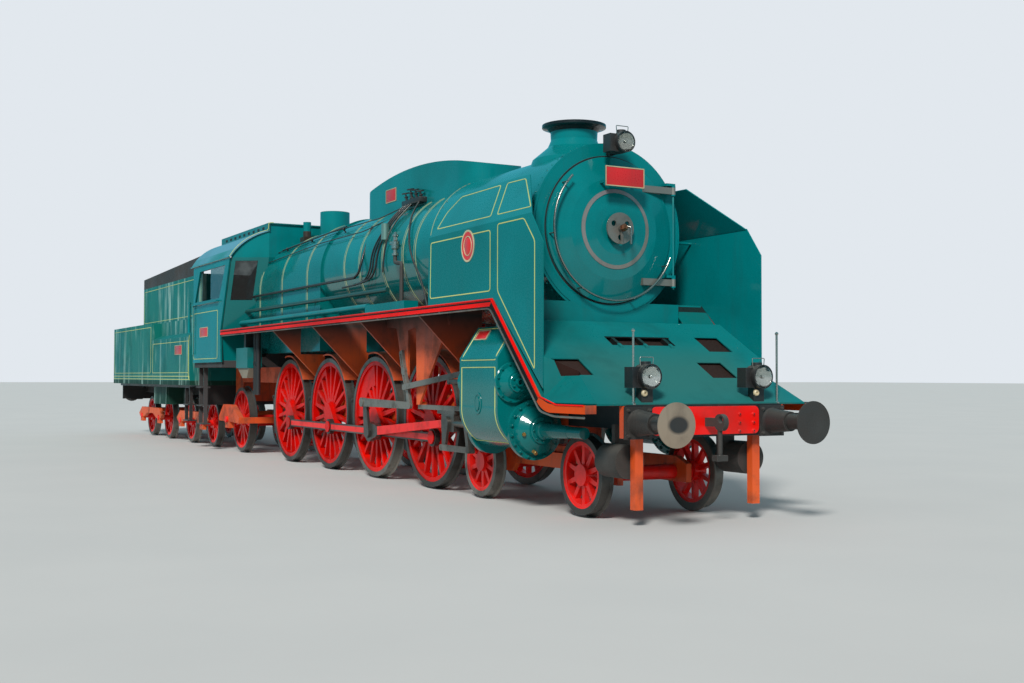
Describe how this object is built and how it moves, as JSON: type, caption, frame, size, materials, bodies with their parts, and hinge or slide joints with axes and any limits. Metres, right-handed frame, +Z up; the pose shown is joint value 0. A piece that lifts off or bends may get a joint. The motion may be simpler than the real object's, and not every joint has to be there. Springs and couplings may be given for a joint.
{
  "type": "steam locomotive with tender",
  "caption": "Express steam locomotive with coupled spoked driving wheels, smoke deflectors, long dome casing, open-backed cab and bogie tender with an open coal bunker.",
  "frame": {"origin": "midway between the buffer faces on the centre line, at the lowest point of the wheel flanges; the rail tops are at Z = 0.028", "axes": "+X forward towards the smokebox, +Y to the engine's left, +Z up"},
  "size_m": [25.4, 3.12, 4.7053],
  "materials": {
    "green_paint": "gloss",
    "red_paint": "gloss",
    "orange_paint": "gloss",
    "black_paint": "satin",
    "tyre_steel": "satin",
    "rod_steel": "satin",
    "gear_steel": "satin",
    "cast_iron": "satin",
    "glass": "gloss",
    "lamp": "gloss",
    "boards": "matt"
  },
  "bodies": {
    "locomotive": {"main_frames": "orange_paint", "front_beam": "red_paint", "front_buffers": "cast_iron", "front_coupling": "gear_steel", "front_apron": "green_paint", "smokebox_shell": "green_paint", "smokebox_ends": "green_paint", "smokebox_saddle": "green_paint", "blast_pipe": "cast_iron", "chimney": "green_paint", "boiler_barrel": "green_paint", "firebox": "green_paint", "dome_casing": "green_paint", "boiler_mountings": "green_paint", "slide_bars": "gear_steel", "main_rods": "rod_steel", "valve_gear": "gear_steel", "cab_floor": "black_paint", "cab_front": "green_paint", "cab_roof": "green_paint", "cab_glass": "glass", "cab_sides": "green_paint", "ashpan": "black_paint", "air_tanks": "black_paint", "boiler_pipes": "black_paint", "headlamps": "lamp", "running_boards": "red_paint", "smoke_deflectors": "green_paint", "cylinders": "green_paint", "brake_gear": "cast_iron", "injectors": "black_paint"},
    "smokebox_door": {"smokebox_door": "green_paint", "door_wheel": "gear_steel"},
    "side_rod_right": {"side_rod_right": "rod_steel"},
    "side_rod_left": {"side_rod_left": "rod_steel"},
    "leading_bogie": {"leading_bogie": "orange_paint"},
    "leading_axle_1": {"leading_wheels_1": "red_paint"},
    "leading_axle_2": {"leading_wheels_2": "red_paint"},
    "trailing_truck": {"trailing_truck": "orange_paint"},
    "trailing_axle": {"trailing_wheels": "red_paint"},
    "tender": {"tender_frame": "orange_paint", "tender_tank": "green_paint", "bunker_boards": "boards", "tender_buffers": "cast_iron"},
    "filler_lid": {"filler_lid": "green_paint"},
    "tender_bogie_1": {"tender_bogie_1": "orange_paint"},
    "tender_bogie_2": {"tender_bogie_2": "orange_paint"},
    "driver_1": {"driver_1_centres": "red_paint", "driver_1_tyres": "tyre_steel"},
    "driver_2": {"driver_2_centres": "red_paint", "driver_2_tyres": "tyre_steel"},
    "driver_3": {"driver_3_centres": "red_paint", "driver_3_tyres": "tyre_steel"},
    "driver_4": {"driver_4_centres": "red_paint", "driver_4_tyres": "tyre_steel"},
    "tender_axle_1": {"tender_wheels_1": "red_paint"},
    "tender_axle_2": {"tender_wheels_2": "red_paint"},
    "tender_axle_3": {"tender_wheels_3": "red_paint"},
    "tender_axle_4": {"tender_wheels_4": "red_paint"}
  },
  "joints": [
    {"name": "driver_2_turn", "type": "hinge", "parent": "locomotive", "child": "driver_2", "pos_m": [4.875, 0, 0.943], "axis": [0, 1, 0], "continuous": true},
    {"name": "driver_1_turn", "type": "hinge", "parent": "locomotive", "child": "driver_1", "pos_m": [6.9, 0, 0.943], "axis": [0, 1, 0], "continuous": true},
    {"name": "driver_3_turn", "type": "hinge", "parent": "locomotive", "child": "driver_3", "pos_m": [2.85, 0, 0.943], "axis": [0, 1, 0], "continuous": true},
    {"name": "driver_4_turn", "type": "hinge", "parent": "locomotive", "child": "driver_4", "pos_m": [0.825, 0, 0.943], "axis": [0, 1, 0], "continuous": true},
    {"name": "side_rod_right_pin", "type": "hinge", "parent": "driver_2", "child": "side_rod_right", "pos_m": [5.13546, -0.886, 0.72445], "axis": [0, 1, 0], "continuous": true},
    {"name": "side_rod_left_pin", "type": "hinge", "parent": "driver_2", "child": "side_rod_left", "pos_m": [4.65645, 0.886, 0.68254], "axis": [0, 1, 0], "continuous": true},
    {"name": "leading_bogie_swivel", "type": "hinge", "parent": "locomotive", "child": "leading_bogie", "pos_m": [9.622, 0, 0.7], "axis": [0, 0, 1], "range_deg": [-3.5, 3.5]},
    {"name": "leading_axle_1_turn", "type": "hinge", "parent": "leading_bogie", "child": "leading_axle_1", "pos_m": [10.8345, 0, 0.468], "axis": [0, 1, 0], "continuous": true},
    {"name": "leading_axle_2_turn", "type": "hinge", "parent": "leading_bogie", "child": "leading_axle_2", "pos_m": [8.4095, 0, 0.468], "axis": [0, 1, 0], "continuous": true},
    {"name": "trailing_truck_swivel", "type": "hinge", "parent": "locomotive", "child": "trailing_truck", "pos_m": [-0.486, 0, 0.72], "axis": [0, 0, 1], "range_deg": [-4, 4]},
    {"name": "trailing_axle_turn", "type": "hinge", "parent": "trailing_truck", "child": "trailing_axle", "pos_m": [-2.236, 0, 0.678], "axis": [0, 1, 0], "continuous": true},
    {"name": "tender_swivel", "type": "hinge", "parent": "locomotive", "child": "tender", "pos_m": [-3.4, 0, 1.178], "axis": [0, 0, 1], "range_deg": [-4, 4]},
    {"name": "tender_bogie_1_swivel", "type": "hinge", "parent": "tender", "child": "tender_bogie_1", "pos_m": [-5.35, 0, 0.7], "axis": [0, 0, 1], "range_deg": [-4, 4]},
    {"name": "tender_axle_1_turn", "type": "hinge", "parent": "tender_bogie_1", "child": "tender_axle_1", "pos_m": [-4.4, 0, 0.528], "axis": [0, 1, 0], "continuous": true},
    {"name": "tender_axle_2_turn", "type": "hinge", "parent": "tender_bogie_1", "child": "tender_axle_2", "pos_m": [-6.3, 0, 0.528], "axis": [0, 1, 0], "continuous": true},
    {"name": "tender_bogie_2_swivel", "type": "hinge", "parent": "tender", "child": "tender_bogie_2", "pos_m": [-9.45, 0, 0.7], "axis": [0, 0, 1], "range_deg": [-4, 4]},
    {"name": "tender_axle_3_turn", "type": "hinge", "parent": "tender_bogie_2", "child": "tender_axle_3", "pos_m": [-8.5, 0, 0.528], "axis": [0, 1, 0], "continuous": true},
    {"name": "tender_axle_4_turn", "type": "hinge", "parent": "tender_bogie_2", "child": "tender_axle_4", "pos_m": [-10.4, 0, 0.528], "axis": [0, 1, 0], "continuous": true},
    {"name": "smokebox_door_hinge", "type": "hinge", "parent": "locomotive", "child": "smokebox_door", "pos_m": [10.24, 0.875, 3.298], "axis": [0, 0, 1], "range_deg": [0, 100]},
    {"name": "filler_lid_hinge", "type": "hinge", "parent": "tender", "child": "filler_lid", "pos_m": [-11.075, 0, 2.828], "axis": [0, -1, 0], "range_deg": [0, 95]}
  ],
  "couplings": [
    {"joint": "driver_1_turn", "follows": "driver_2_turn", "ratio": 1},
    {"joint": "driver_3_turn", "follows": "driver_2_turn", "ratio": 1},
    {"joint": "driver_4_turn", "follows": "driver_2_turn", "ratio": 1},
    {"joint": "side_rod_right_pin", "follows": "driver_2_turn", "ratio": -1},
    {"joint": "side_rod_left_pin", "follows": "driver_2_turn", "ratio": -1}
  ]
}
